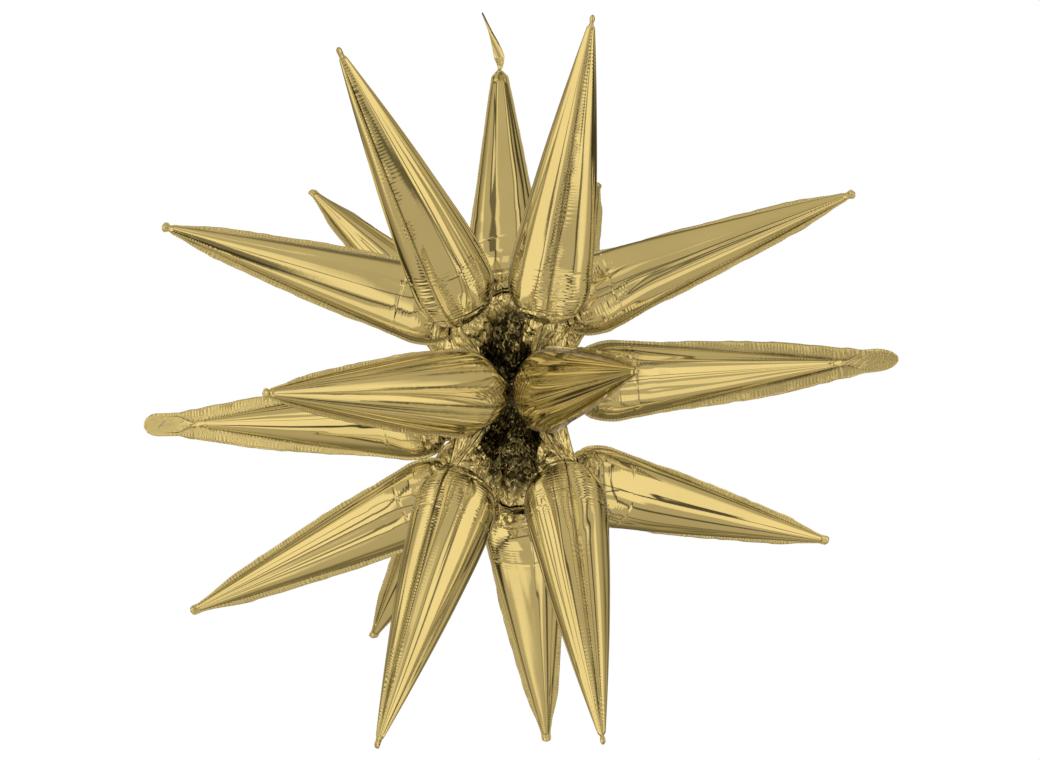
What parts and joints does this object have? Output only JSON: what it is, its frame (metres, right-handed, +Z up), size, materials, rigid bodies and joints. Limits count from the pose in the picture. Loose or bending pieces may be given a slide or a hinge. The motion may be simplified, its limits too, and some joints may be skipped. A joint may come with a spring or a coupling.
{
  "type": "starburst foil balloon",
  "caption": "Inflated gold foil starburst balloon: three stacked star-shaped film envelopes with hollow points, a filling neck with a valve and tail, and flat hanging tabs.",
  "frame": {"origin": "middle of the bounding box of the whole balloon, a few centimetres above and in front of the place where the three stars are bonded together", "axes": "+Z up towards the filling tail, +X to the right spike with a hanging tab as the viewer sees it, +Y away from the viewer"},
  "size_m": [0.7076, 0.6352, 0.707],
  "materials": {
    "front_star_foil": "polished",
    "middle_star_foil": "polished",
    "rear_star_foil": "polished",
    "tail_foil": "polished",
    "valve_film": "gloss",
    "bond_adhesive": "satin"
  },
  "bodies": {
    "core": {"front_hub_front_sheet": "front_star_foil", "front_hub_rear_sheet": "front_star_foil", "middle_hub_front_sheet": "middle_star_foil", "middle_hub_rear_sheet": "middle_star_foil", "rear_hub_front_sheet": "rear_star_foil", "rear_hub_rear_sheet": "rear_star_foil", "front_bond_ring": "bond_adhesive", "rear_bond_ring": "bond_adhesive"},
    "front_right_spike": {"front_right_spike_front_sheet": "front_star_foil", "front_right_spike_rear_sheet": "front_star_foil"},
    "front_upper_right_spike": {"front_upper_right_spike_front_sheet": "front_star_foil", "front_upper_right_spike_rear_sheet": "front_star_foil"},
    "front_upper_left_spike": {"front_upper_left_spike_front_sheet": "front_star_foil", "front_upper_left_spike_rear_sheet": "front_star_foil"},
    "front_left_spike": {"front_left_spike_front_sheet": "front_star_foil", "front_left_spike_rear_sheet": "front_star_foil"},
    "front_lower_left_spike": {"front_lower_left_spike_front_sheet": "front_star_foil", "front_lower_left_spike_rear_sheet": "front_star_foil"},
    "front_lower_right_spike": {"front_lower_right_spike_front_sheet": "front_star_foil", "front_lower_right_spike_rear_sheet": "front_star_foil"},
    "middle_upper_right_spike": {"middle_upper_right_spike_front_sheet": "middle_star_foil", "middle_upper_right_spike_rear_sheet": "middle_star_foil"},
    "middle_top_spike": {"middle_top_spike_front_sheet": "middle_star_foil", "middle_top_spike_rear_sheet": "middle_star_foil", "valve_front_film": "valve_film", "valve_rear_film": "valve_film"},
    "middle_upper_left_spike": {"middle_upper_left_spike_front_sheet": "middle_star_foil", "middle_upper_left_spike_rear_sheet": "middle_star_foil"},
    "middle_lower_left_spike": {"middle_lower_left_spike_front_sheet": "middle_star_foil", "middle_lower_left_spike_rear_sheet": "middle_star_foil"},
    "middle_bottom_spike": {"middle_bottom_spike_front_sheet": "middle_star_foil", "middle_bottom_spike_rear_sheet": "middle_star_foil"},
    "middle_lower_right_spike": {"middle_lower_right_spike_front_sheet": "middle_star_foil", "middle_lower_right_spike_rear_sheet": "middle_star_foil"},
    "rear_right_spike": {"rear_right_spike_front_sheet": "rear_star_foil", "rear_right_spike_rear_sheet": "rear_star_foil"},
    "rear_upper_right_spike": {"rear_upper_right_spike_front_sheet": "rear_star_foil", "rear_upper_right_spike_rear_sheet": "rear_star_foil"},
    "rear_upper_left_spike": {"rear_upper_left_spike_front_sheet": "rear_star_foil", "rear_upper_left_spike_rear_sheet": "rear_star_foil"},
    "rear_left_spike": {"rear_left_spike_front_sheet": "rear_star_foil", "rear_left_spike_rear_sheet": "rear_star_foil"},
    "rear_lower_left_spike": {"rear_lower_left_spike_front_sheet": "rear_star_foil", "rear_lower_left_spike_rear_sheet": "rear_star_foil"},
    "rear_lower_right_spike": {"rear_lower_right_spike_front_sheet": "rear_star_foil", "rear_lower_right_spike_rear_sheet": "rear_star_foil"},
    "filling_tail": {"filling_tail_front_ply": "tail_foil", "filling_tail_rear_ply": "tail_foil"}
  },
  "joints": [
    {"name": "front_right_flex", "type": "hinge", "parent": "core", "child": "front_right_spike", "pos_m": [0.01684, -0.03147, -0.01731], "axis": [0.0192, -0.067, -0.9976], "range_deg": [-10, 7], "stiffness_Nm_per_rad": 0.05},
    {"name": "front_upper_right_flex", "type": "hinge", "parent": "core", "child": "front_upper_right_spike", "pos_m": [0.02318, -0.01652, 0.05085], "axis": [0, -0.9463, -0.3233], "range_deg": [-10, 10], "stiffness_Nm_per_rad": 0.05},
    {"name": "front_upper_left_flex", "type": "hinge", "parent": "core", "child": "front_upper_left_spike", "pos_m": [-0.04497, -0.00685, 0.05238], "axis": [0.2966, 0.8149, 0.498], "range_deg": [-10, 10], "stiffness_Nm_per_rad": 0.05},
    {"name": "front_left_flex", "type": "hinge", "parent": "core", "child": "front_left_spike", "pos_m": [-0.02967, -0.03066, -0.01731], "axis": [0.0029, 0.0045, 1], "range_deg": [-10, 7], "stiffness_Nm_per_rad": 0.05},
    {"name": "front_lower_left_flex", "type": "hinge", "parent": "core", "child": "front_lower_left_spike", "pos_m": [-0.04764, -0.0053, -0.09499], "axis": [-0.3427, -0.7349, 0.5852], "range_deg": [-10, 10], "stiffness_Nm_per_rad": 0.05},
    {"name": "front_lower_right_flex", "type": "hinge", "parent": "core", "child": "front_lower_right_spike", "pos_m": [0.03876, -0.00685, -0.09027], "axis": [-0.0683, 0.7811, -0.6207], "range_deg": [-10, 10], "stiffness_Nm_per_rad": 0.05},
    {"name": "middle_upper_right_flex", "type": "hinge", "parent": "core", "child": "middle_upper_right_spike", "pos_m": [0.04009, 0.05025, 0.06214], "axis": [0.3619, 0, -0.9322], "range_deg": [-10, 10], "stiffness_Nm_per_rad": 0.05},
    {"name": "middle_top_flex", "type": "hinge", "parent": "core", "child": "middle_top_spike", "pos_m": [-0.00967, 0.07443, 0.06765], "axis": [0.9993, 0, 0.0369], "range_deg": [-4, 10], "stiffness_Nm_per_rad": 0.05},
    {"name": "middle_upper_left_flex", "type": "hinge", "parent": "core", "child": "middle_upper_left_spike", "pos_m": [-0.05656, 0.05047, 0.05536], "axis": [0.2898, 0, 0.9571], "range_deg": [-4, 10], "stiffness_Nm_per_rad": 0.05},
    {"name": "middle_lower_left_flex", "type": "hinge", "parent": "core", "child": "middle_lower_left_spike", "pos_m": [-0.05459, 0.04979, -0.10234], "axis": [-0.4282, 0, 0.9037], "range_deg": [-4, 10], "stiffness_Nm_per_rad": 0.05},
    {"name": "middle_bottom_flex", "type": "hinge", "parent": "core", "child": "middle_bottom_spike", "pos_m": [0.00295, 0.06591, -0.11576], "axis": [-0.9938, 0, -0.1109], "range_deg": [-3, 10], "stiffness_Nm_per_rad": 0.05},
    {"name": "middle_lower_right_flex", "type": "hinge", "parent": "core", "child": "middle_lower_right_spike", "pos_m": [0.04742, 0.05201, -0.09652], "axis": [-0.2404, 0, -0.9707], "range_deg": [-10, 10], "stiffness_Nm_per_rad": 0.05},
    {"name": "rear_right_flex", "type": "hinge", "parent": "core", "child": "rear_right_spike", "pos_m": [0.05524, 0.06367, -0.00886], "axis": [0.0834, 0, -0.9965], "range_deg": [-10, 10], "stiffness_Nm_per_rad": 0.05},
    {"name": "rear_upper_right_flex", "type": "hinge", "parent": "core", "child": "rear_upper_right_spike", "pos_m": [0.02115, 0.09224, 0.02694], "axis": [0.9775, -0.1617, -0.1357], "range_deg": [-10, 3], "stiffness_Nm_per_rad": 0.05},
    {"name": "rear_upper_left_flex", "type": "hinge", "parent": "core", "child": "rear_upper_left_spike", "pos_m": [-0.03597, 0.0905, 0.02539], "axis": [0.8095, 0.4497, 0.3774], "range_deg": [-10, 3], "stiffness_Nm_per_rad": 0.05},
    {"name": "rear_left_flex", "type": "hinge", "parent": "core", "child": "rear_left_spike", "pos_m": [-0.06773, 0.05932, -0.04152], "axis": [-0.021, 0, 0.9998], "range_deg": [-10, 10], "stiffness_Nm_per_rad": 0.05},
    {"name": "rear_lower_left_flex", "type": "hinge", "parent": "core", "child": "rear_lower_left_spike", "pos_m": [-0.03767, 0.08888, -0.07264], "axis": [-0.9274, -0.2866, 0.2405], "range_deg": [-10, 3], "stiffness_Nm_per_rad": 0.05},
    {"name": "rear_lower_right_flex", "type": "hinge", "parent": "core", "child": "rear_lower_right_spike", "pos_m": [0.01672, 0.09334, -0.07422], "axis": [-0.9776, 0.1614, -0.1354], "range_deg": [-10, 2], "stiffness_Nm_per_rad": 0.05},
    {"name": "filling_tail_bend", "type": "hinge", "parent": "middle_top_spike", "child": "filling_tail", "pos_m": [-0.01803, 0.21488, 0.29403], "axis": [0.9625, 0.0293, 0.2698], "range_deg": [-60, 30], "stiffness_Nm_per_rad": 0.002}
  ]
}
